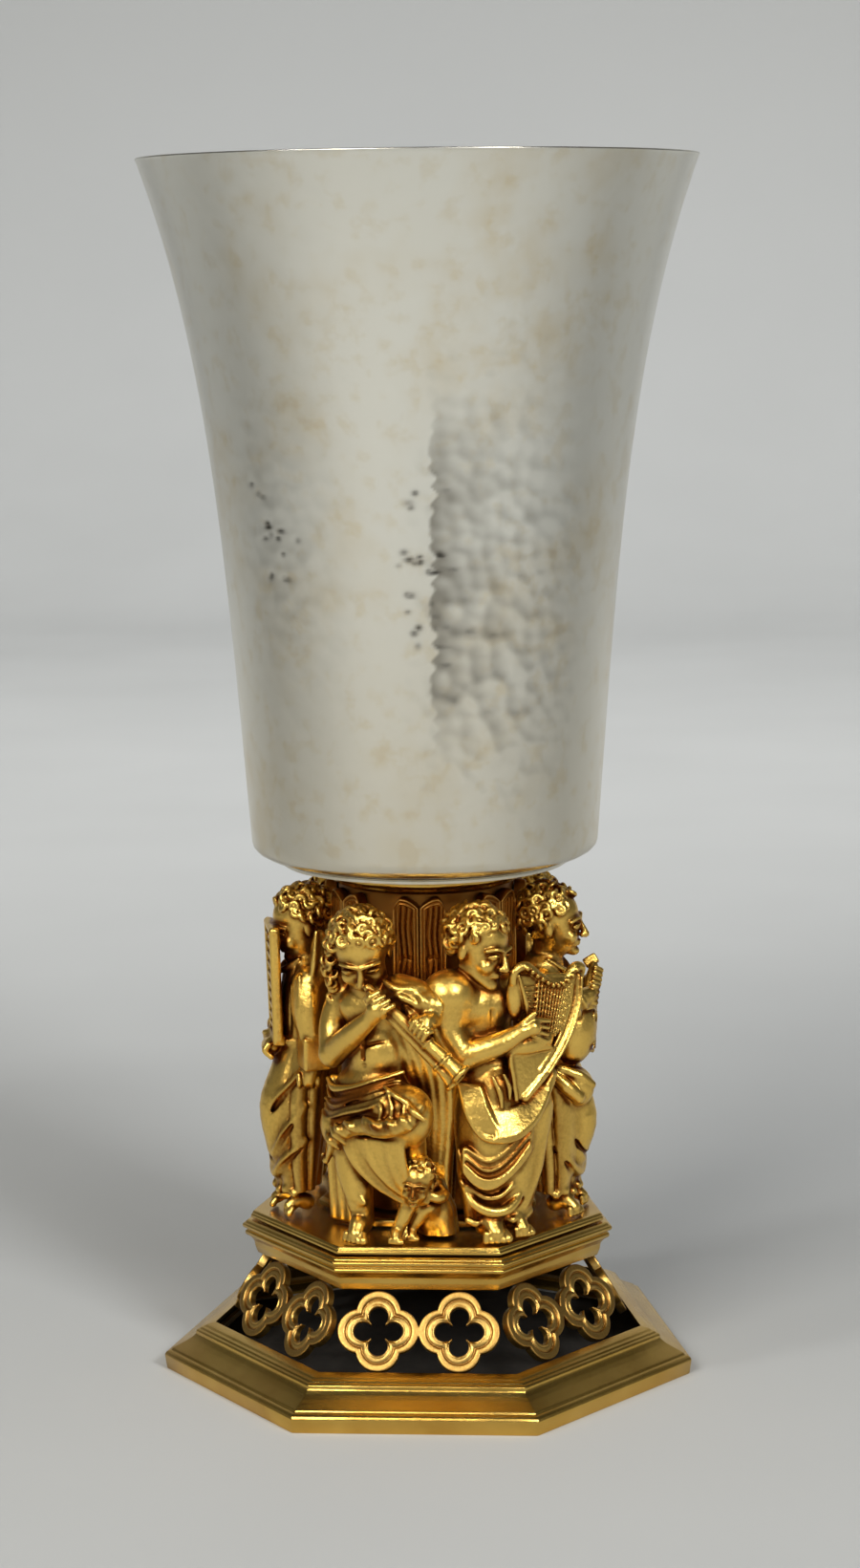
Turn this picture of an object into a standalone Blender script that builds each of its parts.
"""Communion chalice: a planished silver bowl on a gilt stem of seven angel musicians.

The stack, from the bottom: a seven-sided base moulding, seven pierced gallery panels that lean
inwards, a platform of moulding and plate, a core with seven figures and seven wing pairs around
it, a neck collar, and the bowl on its foot disc. A threaded stud under the bowl runs down through
the core, and a nut and washer below the platform plate hold everything together.

The axis is Z, the origin is on the standing surface, and one side of the base faces -Y.
Dimensions are in millimetres and are turned into metres by MM.
"""

import math

import bmesh
import bpy
from mathutils import Matrix, Vector

MM = 0.001
OBJECT_NAME = "communion_chalice"

# The seven-sided plan. Radii of seven-sided pieces are those of their corners.
SIDES = 7
SIDE_ANGLE = math.tau / SIDES
APOTHEM = math.cos(math.pi / SIDES)
CORNER_AT = SIDE_ANGLE / 2 - math.pi / 2

GAP = 0.3  # clearance between pieces that touch on the bench

# Bowl
TOTAL_HEIGHT = 165.0
BOWL_BOTTOM = 71.35
BOWL_WALL = 0.9
BOWL_FLARE_START = 72.0
BOWL_WAIST_RADIUS = 23.55
BOWL_TAPER = 6.8
BOWL_FLARE = 7.05
BOWL_FLARE_POWER = 3.8
BOWL_HEEL_RADIUS = 20.2
BOWL_HEEL_TOP = 73.4
BOWL_RINGS = 11
HEEL_RINGS = 3
ROUND_STEPS = 40

# Neck
FOOT_DISC_RADIUS = 19.7
FOOT_DISC_THICKNESS = 0.7
COLLAR_RADIUS = 13.8
COLLAR_BOTTOM = 68.0
CORE_RADIUS = 11.9
CORE_BORE = 7.9

# Platform
PLATE_RADIUS = 24.61
PLATE_TOP = 21.91
PLATE_THICKNESS = 0.95
PLINTH_RADIUS = 15.4
PLINTH_HEIGHT = 1.1

# Tie rod, an M4 thread
STUD_RADIUS = 2.0
STUD_BOTTOM = 14.4
STUD_HOLE = STUD_RADIUS + GAP
MITRED_STUD_HOLE = STUD_HOLE / APOTHEM
NUT_BORE = STUD_RADIUS + 0.15
NUT_ACROSS_CORNERS = 7.9
NUT_HEIGHT = 3.2
WASHER_RADIUS = 5.0
WASHER_THICKNESS = 0.8
SMALL_STEPS = 32

# Gallery panels: two quatrefoils side by side
GALLERY_LEAN = math.radians(29.5)
GALLERY_THICKNESS = 1.2
GALLERY_MID_HEIGHT = 10.65
GALLERY_MID_APOTHEM = 23.65
FOIL_SPACING = 10.9
LOBE_RADIUS = 3.0
LOBE_OFFSET = 2.5
HOLE_LOBE_RADIUS = 1.26
HOLE_LOBE_OFFSET = 1.98
HOLE_CENTRE_RADIUS = 1.4
WEB_HALF_HEIGHT = 1.2
POINTS_PER_LOBE = 5

# Wing pairs, curved plates standing on the core
WING_INNER_RADIUS = CORE_RADIUS + GAP
WING_THICKNESS = 1.4
WING_HALF_ANGLE = math.radians(15.8)
WING_TIP_ANGLE = math.radians(10.6)
WING_TIP_HEIGHT = 67.4
WING_NOTCH_DEPTH = 1.35
WING_SHOULDER_SPAN = math.radians(4.0)
WING_BOTTOM = 53.0
WING_COLUMNS = 12
WING_ROWS = 2

# Figures
FIGURE_VOXEL = 0.55
FIGURE_DETAIL = 0.06

GILT = (0.80, 0.58, 0.19)
GILT_DARK = (0.62, 0.40, 0.12)
SILVER = (0.80, 0.79, 0.76)


# Each figure stands in its own frame: the first number is to the right as seen from outside, the
# second is the distance out from the chalice's axis, and the third is the height. A blob is a list
# of (centre, radius) balls whose hull is one lump of the casting.
def standing_body(head, chin, chest, hips, shoulder_half, hem_out):
    """Head, trunk, shoulders and a floor-length robe."""
    return [
        [(head, 4.2), (chin, 3.0)],
        [(chin, 2.2), (chest, 3.4)],
        [(chest, 3.9), (hips, 4.2)],
        [(offset(chest, -shoulder_half, -0.3, 1.2), 2.2), (offset(chest, shoulder_half, -0.3, 1.2), 2.2)],
        [
            (hips, 4.2),
            ((hips[0], hem_out, 36.0), 2.6),
            ((hips[0] - 3.2, 18.0, 25.0), 2.1),
            ((hips[0] + 3.2, 18.0, 25.0), 2.1),
            ((hips[0], hem_out - 1.6, 26.5), 2.0),
        ],
    ]


def arm(shoulder, elbow, hand):
    """Upper arm, forearm and closed hand."""
    return [[(shoulder, 2.1), (elbow, 1.8)], [(elbow, 1.7), (hand, 1.3)], [(hand, 1.5)]]


def foot(heel, toe):
    """One bare foot on the platform."""
    return [[(heel, 1.35), (toe, 1.1)]]


def offset(point, right, out, up):
    """A point moved by the given amounts in a figure's frame."""
    return (point[0] + right, point[1] + out, point[2] + up)


def piper():
    """Head bent over a long shawm, one knee raised."""
    return (
        [
            [((0.2, 18.4, 62.2), 4.5), ((1.4, 19.2, 58.6), 3.4)],
            [((1.4, 18.0, 57.0), 2.4), ((1.5, 17.4, 53.0), 3.4)],
            [((1.5, 17.5, 52.5), 3.8), ((2.5, 17.0, 42.5), 4.1)],
            [((-3.2, 17.0, 54.3), 2.2), ((6.0, 16.6, 54.3), 2.2)],
            [((2.5, 17.0, 42.0), 4.0), ((7.6, 18.8, 40.8), 2.7), ((-2.8, 17.4, 36.0), 2.4)],
            [((7.6, 18.8, 40.4), 2.4), ((3.8, 17.4, 34.5), 1.7)],
            [((0.0, 17.6, 40.0), 3.6), ((0.2, 19.4, 33.0), 2.6), ((0.6, 18.6, 26.0), 1.9)],
            [((3.0, 21.4, 56.8), 0.9), ((14.8, 16.9, 46.0), 1.6)],
        ]
        + arm((-3.2, 17.2, 54.3), (-4.0, 18.6, 48.0), (6.0, 21.4, 55.2))
        + arm((6.2, 16.8, 54.3), (10.4, 17.2, 50.8), (10.8, 18.6, 51.6))
        + foot((1.0, 19.8, 23.8), (1.2, 22.6, 23.5))
    )


def harpist():
    """Plucks a triangular harp that rests on the thigh."""
    return (
        standing_body((1.0, 17.4, 62.4), (2.2, 18.4, 59.6), (1.0, 17.5, 52.5), (2.4, 17.0, 42.0), 4.4, 20.4)
        + [[((4.9, 20.8, 57.6), 0.9), ((13.0, 17.4, 56.4), 0.9), ((4.8, 21.4, 41.2), 0.9)]]
        + [[((2.4, 17.0, 40.0), 3.6), ((8.0, 18.2, 38.4), 2.2), ((7.4, 17.6, 26.0), 1.8)]]
        + arm((-3.4, 17.0, 54.0), (-2.8, 17.6, 47.2), (5.2, 21.8, 50.4))
        + arm((5.4, 16.8, 53.6), (6.0, 17.4, 48.6), (7.6, 19.2, 52.8))
        + foot((-0.7, 19.4, 23.8), (-0.7, 22.4, 23.5))
        + foot((4.6, 19.2, 23.8), (4.8, 21.6, 23.5))
    )


def psaltery_player():
    """Holds a tall board psaltery upright in front of the chest."""
    board = [((side * half, 20.5, height), 0.9) for side in (-1, 1) for half, height in ((4.2, 62.2), (2.6, 47.6))]
    return (
        standing_body((0.4, 17.6, 62.4), (0.2, 18.2, 59.4), (0.0, 17.5, 52.5), (0.0, 17.0, 42.0), 4.8, 19.9)
        + [board, [((0.0, 19.9, 45.2), 1.5), ((0.0, 18.6, 46.0), 1.5)]]
        + arm((5.0, 17.0, 53.8), (6.0, 17.6, 48.4), (3.8, 19.8, 56.6))
        + arm((-5.0, 17.0, 53.8), (-6.0, 17.6, 48.4), (-3.8, 19.8, 52.4))
        + foot((-2.4, 18.8, 23.8), (-2.4, 21.6, 23.5))
        + foot((4.0, 18.4, 23.8), (5.0, 20.6, 23.5))
    )


def lute_player():
    """Cradles a round-backed lute at the waist."""
    return (
        standing_body((0.0, 17.6, 62.4), (0.4, 18.0, 59.6), (0.0, 17.5, 52.5), (0.0, 17.0, 42.0), 4.8, 20.2)
        + [
            [((-1.0, 20.4, 49.6), 2.9), ((-0.4, 20.8, 46.0), 2.9)],
            [((-1.2, 20.6, 51.0), 1.2), ((4.6, 20.0, 58.0), 0.9)],
            [((0.0, 19.8, 38.6), 3.3), ((0.0, 20.4, 29.4), 2.3)],
        ]
        + arm((-5.0, 17.0, 53.8), (-5.8, 17.8, 48.6), (-1.6, 21.8, 53.0))
        + arm((5.0, 17.0, 53.8), (6.0, 17.6, 50.0), (3.8, 20.4, 55.8))
        + foot((-2.6, 18.8, 23.8), (-2.6, 21.6, 23.5))
        + foot((2.6, 18.8, 23.8), (2.6, 21.6, 23.5))
    )


def fiddle_player():
    """Bows a small fiddle held against the shoulder."""
    return (
        standing_body((-0.8, 17.6, 62.4), (-0.4, 18.2, 59.6), (0.0, 17.5, 52.5), (0.0, 17.0, 42.0), 4.8, 19.8)
        + [
            [((1.6, 19.6, 54.6), 1.9), ((3.8, 20.2, 52.0), 2.2)],
            [((3.8, 20.2, 52.0), 0.9), ((8.2, 19.6, 47.6), 0.9)],
            [((-3.4, 21.2, 49.0), 0.8), ((6.4, 21.8, 54.6), 0.8)],
        ]
        + arm((-5.0, 17.0, 53.8), (-6.0, 18.0, 49.4), (-2.4, 21.0, 49.8))
        + arm((5.0, 17.0, 53.8), (6.0, 17.6, 49.4), (6.4, 19.8, 48.8))
        + foot((-2.6, 18.8, 23.8), (-2.8, 21.6, 23.5))
        + foot((2.8, 18.6, 23.8), (3.2, 21.2, 23.5))
    )


def drummer():
    """Beats a small drum that hangs at the hip."""
    return (
        standing_body((0.6, 17.6, 62.4), (0.2, 18.2, 59.6), (0.0, 17.5, 52.5), (0.0, 17.0, 42.0), 4.8, 19.8)
        + [
            [((-0.2, 20.4, 48.4), 2.4), ((-0.2, 20.4, 44.6), 2.4)],
            [((4.8, 20.8, 53.8), 0.8), ((0.8, 21.0, 50.4), 0.8)],
        ]
        + arm((-5.0, 17.0, 53.8), (-6.0, 17.6, 48.4), (-3.2, 20.8, 49.6))
        + arm((5.0, 17.0, 53.8), (6.0, 17.6, 49.0), (4.8, 20.8, 53.4))
        + foot((-2.6, 18.8, 23.8), (-3.0, 21.4, 23.5))
        + foot((2.6, 18.8, 23.8), (2.6, 21.6, 23.5))
    )


def trumpeter():
    """Sounds a straight trumpet pointing down to one side."""
    return (
        standing_body((0.0, 17.6, 62.4), (-0.4, 18.4, 59.4), (0.0, 17.5, 52.5), (0.0, 17.0, 42.0), 4.8, 19.8)
        + [[((-0.6, 21.0, 57.8), 0.8), ((-6.8, 20.0, 46.6), 0.9)], [((-6.4, 20.0, 47.2), 0.9), ((-7.6, 19.8, 45.2), 1.6)]]
        + arm((-5.0, 17.0, 53.8), (-6.0, 17.6, 49.4), (-4.2, 20.2, 51.6))
        + arm((5.0, 17.0, 53.8), (6.2, 18.2, 49.6), (-0.8, 21.0, 55.0))
        + foot((-2.4, 18.8, 23.8), (-2.4, 21.6, 23.5))
        + foot((2.8, 18.6, 23.8), (3.4, 21.2, 23.5))
    )


def child():
    """Crouches on the platform with the arms folded on the knees."""
    return [
        [((0.0, 19.4, 32.2), 2.9), ((-0.2, 20.2, 31.2), 2.3)],
        [((0.2, 18.6, 29.2), 2.0), ((0.8, 18.2, 26.4), 2.2)],
        [((-1.6, 19.6, 28.4), 1.2), ((2.4, 19.8, 28.8), 1.2)],
        [((0.8, 18.6, 25.6), 1.8), ((-2.2, 20.0, 26.6), 1.2)],
        [((-2.2, 20.0, 26.6), 1.1), ((-3.2, 19.8, 23.8), 1.0)],
        [((-3.2, 19.8, 23.7), 1.1), ((-3.8, 21.0, 23.5), 1.0)],
    ]


# Name, shape, and place in side angles from the middle of the front.
FIGURES = (
    ("angel_piper", piper, -0.5),
    ("angel_harpist", harpist, 0.5),
    ("angel_lute", lute_player, 1.5),
    ("angel_fiddle", fiddle_player, 2.5),
    ("angel_drum", drummer, 3.5),
    ("angel_trumpet", trumpeter, -2.5),
    ("angel_psaltery", psaltery_player, -1.5),
    ("crouching_child", child, 0.0),
)


def clear_scene():
    """Remove whatever the file opened with."""
    for old in list(bpy.data.objects):
        bpy.data.objects.remove(old, do_unlink=True)


def new_collection(name):
    """A collection linked to the scene."""
    collection = bpy.data.collections.new(name)
    bpy.context.scene.collection.children.link(collection)
    return collection


def metal(name, colour, roughness):
    """A plain metallic material for one piece."""
    material = bpy.data.materials.new(name)
    material.use_nodes = True
    shader = material.node_tree.nodes["Principled BSDF"]
    shader.inputs["Base Color"].default_value = (*colour, 1.0)
    shader.inputs["Metallic"].default_value = 1.0
    shader.inputs["Roughness"].default_value = roughness
    return material


def add_piece(name, data, collection, colour, roughness):
    """Link mesh or curve data as one named piece with its own material."""
    piece = bpy.data.objects.new(name, data)
    piece.data.materials.append(metal(name, colour, roughness))
    collection.objects.link(piece)
    return piece


def turned(name, profile, steps, collection, colour, roughness, closed=False):
    """A body of revolution: the profile is (radius, height) in mm, down its outer side."""
    mesh = bpy.data.meshes.new(name)
    count = len(profile)
    edges = [(i, (i + 1) % count) for i in range(count if closed else count - 1)]
    mesh.from_pydata([(r * MM, 0.0, z * MM) for r, z in profile], edges, [])
    piece = add_piece(name, mesh, collection, colour, roughness)
    screw = piece.modifiers.new("turn", "SCREW")
    screw.steps = screw.render_steps = steps
    screw.use_merge_vertices = True
    screw.merge_threshold = 0.00001
    screw.use_smooth_shade = steps > SIDES
    return piece


def mitred(name, profile, collection, colour, roughness):
    """A seven-sided ring with one side towards -Y."""
    piece = turned(name, profile, SIDES, collection, colour, roughness, closed=True)
    piece.rotation_euler.z = CORNER_AT
    return piece


def bowl_radius(height):
    """Outer radius of the bowl at a height."""
    t = (height - BOWL_FLARE_START) / (TOTAL_HEIGHT - BOWL_FLARE_START)
    return BOWL_WAIST_RADIUS + BOWL_TAPER * t + BOWL_FLARE * t**BOWL_FLARE_POWER


def bowl_profile():
    """Inner floor, up the inner wall, over the rim, down the outer wall, and in along the bottom."""
    heights = [
        TOTAL_HEIGHT - (TOTAL_HEIGHT - BOWL_HEEL_TOP) * i / (BOWL_RINGS - 1) for i in range(BOWL_RINGS)
    ]
    outer = [(bowl_radius(z), z) for z in heights]
    top_of_heel = bowl_radius(BOWL_HEEL_TOP)
    heel_run = top_of_heel - BOWL_HEEL_RADIUS
    heel_rise = BOWL_HEEL_TOP - BOWL_BOTTOM
    for i in range(1, HEEL_RINGS + 1):
        turn = math.pi / 2 * i / HEEL_RINGS
        outer.append((BOWL_HEEL_RADIUS + heel_run * math.cos(turn), BOWL_HEEL_TOP - heel_rise * math.sin(turn)))
    inner = [(r - BOWL_WALL, max(z, BOWL_BOTTOM + BOWL_WALL)) for r, z in outer if z > BOWL_BOTTOM + BOWL_WALL / 2]
    inner.append((BOWL_HEEL_RADIUS - BOWL_WALL, BOWL_BOTTOM + BOWL_WALL))
    return [(0.0, inner[-1][1]), *reversed(inner), *outer, (0.0, BOWL_BOTTOM)]


def washer_profile(hole, radius, bottom, top):
    """Section of a flat ring."""
    return [(radius, top), (radius, bottom), (hole, bottom), (hole, top)]


def build_bowl(collection):
    """The bowl, its foot disc, and the collar under them."""
    turned("bowl", bowl_profile(), ROUND_STEPS, collection, SILVER, 0.3)
    disc_top = BOWL_BOTTOM - GAP
    disc_bottom = disc_top - FOOT_DISC_THICKNESS
    disc = washer_profile(STUD_HOLE, FOOT_DISC_RADIUS, disc_bottom, disc_top)
    turned("bowl_foot_disc", disc, ROUND_STEPS, collection, SILVER, 0.25, closed=True)
    collar = washer_profile(STUD_HOLE, COLLAR_RADIUS, COLLAR_BOTTOM, disc_bottom - GAP)
    turned("neck_collar", collar, ROUND_STEPS, collection, GILT, 0.3, closed=True)


def build_core(collection):
    """The tube that carries the figures, and the low seat it stands on."""
    plinth_bottom = PLATE_TOP + GAP
    plinth_top = plinth_bottom + PLINTH_HEIGHT
    mitred("core_plinth", washer_profile(MITRED_STUD_HOLE, PLINTH_RADIUS, plinth_bottom, plinth_top), collection, GILT, 0.35)
    core = washer_profile(CORE_BORE, CORE_RADIUS, plinth_top + GAP, COLLAR_BOTTOM - GAP)
    turned("stem_core", core, ROUND_STEPS, collection, GILT_DARK, 0.4, closed=True)


def build_platform(collection):
    """The plate under the figures and the moulding that frames it from below."""
    plate_bottom = PLATE_TOP - PLATE_THICKNESS
    plate = [
        (PLATE_RADIUS, PLATE_TOP),
        (25.0, 21.5),
        (25.0, plate_bottom),
        (MITRED_STUD_HOLE, plate_bottom),
        (MITRED_STUD_HOLE, PLATE_TOP),
    ]
    mitred("platform_plate", plate, collection, GILT, 0.35)
    moulding_top = plate_bottom - GAP
    moulding = [
        (25.3, moulding_top),
        (26.21, 20.15),
        (26.1, 19.4),
        (25.6, 19.2),
        (25.85, 18.8),
        (25.6, 18.4),
        (25.1, 18.2),
        (24.55, 17.5),
        (24.5, 16.9),
        (24.11, 15.87),
        (20.6, 15.87),
        (20.6, moulding_top),
    ]
    mitred("platform_moulding", moulding, collection, GILT, 0.35)


def build_base(collection):
    """The moulding that the chalice stands on, hollow behind its slopes."""
    profile = [
        (30.14, 6.26),
        (31.6, 5.85),
        (32.95, 5.22),
        (33.0, 4.8),
        (33.32, 4.38),
        (34.3, 3.75),
        (35.7, 3.1),
        (36.9, 2.5),
        (37.37, 1.93),
        (37.08, 0.0),
        (35.7, 0.0),
        (35.8, 1.5),
        (33.6, 2.7),
        (32.2, 3.6),
        (31.6, 4.7),
        (30.3, 5.6),
    ]
    mitred("base_moulding", profile, collection, GILT, 0.35)


def build_tie(collection):
    """The threaded stud, with its washer and nut under the platform plate."""
    stud_top = BOWL_BOTTOM - GAP
    stud = [(0.0, stud_top), (STUD_RADIUS, stud_top), (STUD_RADIUS, STUD_BOTTOM), (0.0, STUD_BOTTOM)]
    turned("tie_stud", stud, SMALL_STEPS, collection, GILT_DARK, 0.4)
    washer_top = PLATE_TOP - PLATE_THICKNESS - GAP
    washer_bottom = washer_top - WASHER_THICKNESS
    washer = washer_profile(STUD_HOLE, WASHER_RADIUS, washer_bottom, washer_top)
    turned("tie_washer", washer, SMALL_STEPS, collection, GILT_DARK, 0.4, closed=True)
    nut_top = washer_bottom - GAP
    build_nut(nut_top - NUT_HEIGHT, nut_top, collection)


def build_nut(bottom, top, collection):
    """A hexagon with a round bore, joined face to face by bridged rings."""
    bm = bmesh.new()
    rings = []
    for height in (bottom, top):
        hexagon = [ring_vertex(bm, NUT_ACROSS_CORNERS / 2, i, 6, height) for i in range(6)]
        bore = [ring_vertex(bm, NUT_BORE, i, SMALL_STEPS, height) for i in range(SMALL_STEPS)]
        loops = [close_loop(bm, hexagon), close_loop(bm, bore)]
        bmesh.ops.triangle_fill(bm, use_beauty=True, edges=loops[0] + loops[1])
        rings.append(loops)
    for low, high in zip(*rings):
        bmesh.ops.bridge_loops(bm, edges=low + high)
    bmesh.ops.recalc_face_normals(bm, faces=bm.faces)
    mesh = bpy.data.meshes.new("tie_nut")
    bm.to_mesh(mesh)
    bm.free()
    add_piece("tie_nut", mesh, collection, GILT_DARK, 0.4)


def ring_vertex(bm, radius, index, count, height):
    """One corner of a regular ring, in mm."""
    angle = math.tau * index / count
    return bm.verts.new((radius * math.cos(angle) * MM, radius * math.sin(angle) * MM, height * MM))


def close_loop(bm, vertices):
    """Edges that join vertices into a closed loop."""
    return [bm.edges.new((vertices[i - 1], vertices[i])) for i in range(len(vertices))]


def foil_radius(angle, lobe_radius, lobe_offset, centre_radius=0.0):
    """Distance from a quatrefoil's centre to its edge in the direction of an angle."""
    from_lobe = (angle + math.pi / 4) % (math.pi / 2) - math.pi / 4
    across = lobe_offset * math.sin(from_lobe)
    if abs(across) >= lobe_radius:
        return centre_radius
    return max(centre_radius, lobe_offset * math.cos(from_lobe) + math.sqrt(lobe_radius**2 - across**2))


def foil_points(centre, angles, *lobes):
    """Points of a quatrefoil's edge around a centre on the panel's long axis."""
    points = []
    for angle in angles:
        radius = foil_radius(angle, *lobes)
        points.append((centre + radius * math.cos(angle), radius * math.sin(angle)))
    return points


def panel_outline():
    """The edge of both quatrefoils, joined by a short web where they meet."""
    samples = 4 * POINTS_PER_LOBE
    web_angle = math.asin(WEB_HALF_HEIGHT / (LOBE_OFFSET + LOBE_RADIUS))
    angles = [web_angle + (math.tau - 2 * web_angle) * i / (samples - 1) for i in range(samples)]
    left = foil_points(-FOIL_SPACING / 2, angles, LOBE_RADIUS, LOBE_OFFSET)
    return left + [(-x, -y) for x, y in left]


def panel_hole(side):
    """The four-lobed piercing of one quatrefoil."""
    samples = 4 * POINTS_PER_LOBE
    angles = [math.tau * i / samples for i in range(samples)]
    return foil_points(side * FOIL_SPACING / 2, angles, HOLE_LOBE_RADIUS, HOLE_LOBE_OFFSET, HOLE_CENTRE_RADIUS)


def build_gallery(collection):
    """Seven pierced panels that share one outline."""
    curve = bpy.data.curves.new("gallery_panel", "CURVE")
    curve.dimensions = "2D"
    curve.fill_mode = "BOTH"
    curve.extrude = GALLERY_THICKNESS / 2 * MM
    for outline in (panel_outline(), panel_hole(-1), panel_hole(1)):
        spline = curve.splines.new("POLY")
        spline.points.add(len(outline) - 1)
        for point, (x, y) in zip(spline.points, outline):
            point.co = (x * MM, y * MM, 0.0, 1.0)
        spline.use_cyclic_u = True
    for side in range(SIDES):
        piece = add_piece(f"gallery_panel_{side + 1}", curve.copy(), collection, GILT, 0.3)
        turn = Matrix.Rotation(side * SIDE_ANGLE, 4, "Z")
        lean = Matrix.Rotation(math.pi / 2 - GALLERY_LEAN, 4, "X")
        place = Matrix.Translation((0.0, -GALLERY_MID_APOTHEM * MM, GALLERY_MID_HEIGHT * MM))
        piece.matrix_world = turn @ place @ lean
    bpy.data.curves.remove(curve)


def wing_top(angle):
    """Height of a wing pair's upper edge, which dips to a notch between two rounded tips."""
    past_tip = abs(angle) - WING_TIP_ANGLE
    span = WING_SHOULDER_SPAN if past_tip > 0 else WING_TIP_ANGLE
    return WING_TIP_HEIGHT - WING_NOTCH_DEPTH * (past_tip / span) ** 2


def build_wings(collection):
    """Seven wing pairs, each a sheet bent round the core and given its thickness outwards."""
    for side in range(SIDES):
        name = f"wing_pair_{side + 1}"
        bm = bmesh.new()
        bmesh.ops.create_grid(bm, x_segments=WING_COLUMNS, y_segments=WING_ROWS, size=1.0)
        for vertex in bm.verts:
            angle = vertex.co.x * WING_HALF_ANGLE
            rise = (vertex.co.y + 1) / 2
            height = WING_BOTTOM + rise * (wing_top(angle) - WING_BOTTOM)
            out = Vector((math.sin(angle), -math.cos(angle), 0.0)) * WING_INNER_RADIUS * MM
            vertex.co = out + Vector((0.0, 0.0, height * MM))
        mesh = bpy.data.meshes.new(name)
        bm.to_mesh(mesh)
        bm.free()
        piece = add_piece(name, mesh, collection, GILT, 0.3)
        piece.rotation_euler.z = side * SIDE_ANGLE
        thicken = piece.modifiers.new("thickness", "SOLIDIFY")
        thicken.thickness = WING_THICKNESS * MM
        thicken.offset = 1.0


def lump_mesh(balls):
    """The hull of a few balls, as one closed mesh."""
    bm = bmesh.new()
    for (right, out, up), radius in balls:
        place = Matrix.Translation((right * MM, -out * MM, up * MM))
        bmesh.ops.create_icosphere(bm, subdivisions=2, radius=radius * MM, matrix=place)
    bmesh.ops.delete(bm, geom=list(bm.faces), context="FACES_ONLY")
    hull = bmesh.ops.convex_hull(bm, input=list(bm.verts))
    inside = [part for part in hull["geom_interior"] if isinstance(part, bmesh.types.BMVert)]
    bmesh.ops.delete(bm, geom=inside, context="VERTS")
    mesh = bpy.data.meshes.new("lump")
    bm.to_mesh(mesh)
    bm.free()
    return mesh


def build_figures(collection):
    """Each figure is a group of lumps fused into one casting."""
    for name, shape, place in FIGURES:
        mesh = bpy.data.meshes.new(name)
        whole = bmesh.new()
        for balls in shape():
            lump = lump_mesh(balls)
            whole.from_mesh(lump)
            bpy.data.meshes.remove(lump)
        whole.to_mesh(mesh)
        whole.free()
        piece = add_piece(name, mesh, collection, GILT, 0.28)
        piece.rotation_euler.z = place * SIDE_ANGLE
        fuse = piece.modifiers.new("fuse", "REMESH")
        fuse.mode = "VOXEL"
        fuse.voxel_size = FIGURE_VOXEL * MM
        thin_out = piece.modifiers.new("thin_out", "DECIMATE")
        thin_out.ratio = FIGURE_DETAIL


def main():
    """Build every piece of the chalice."""
    clear_scene()
    collection = new_collection(OBJECT_NAME)
    build_base(collection)
    build_gallery(collection)
    build_platform(collection)
    build_core(collection)
    build_wings(collection)
    build_figures(collection)
    build_bowl(collection)
    build_tie(collection)


main()
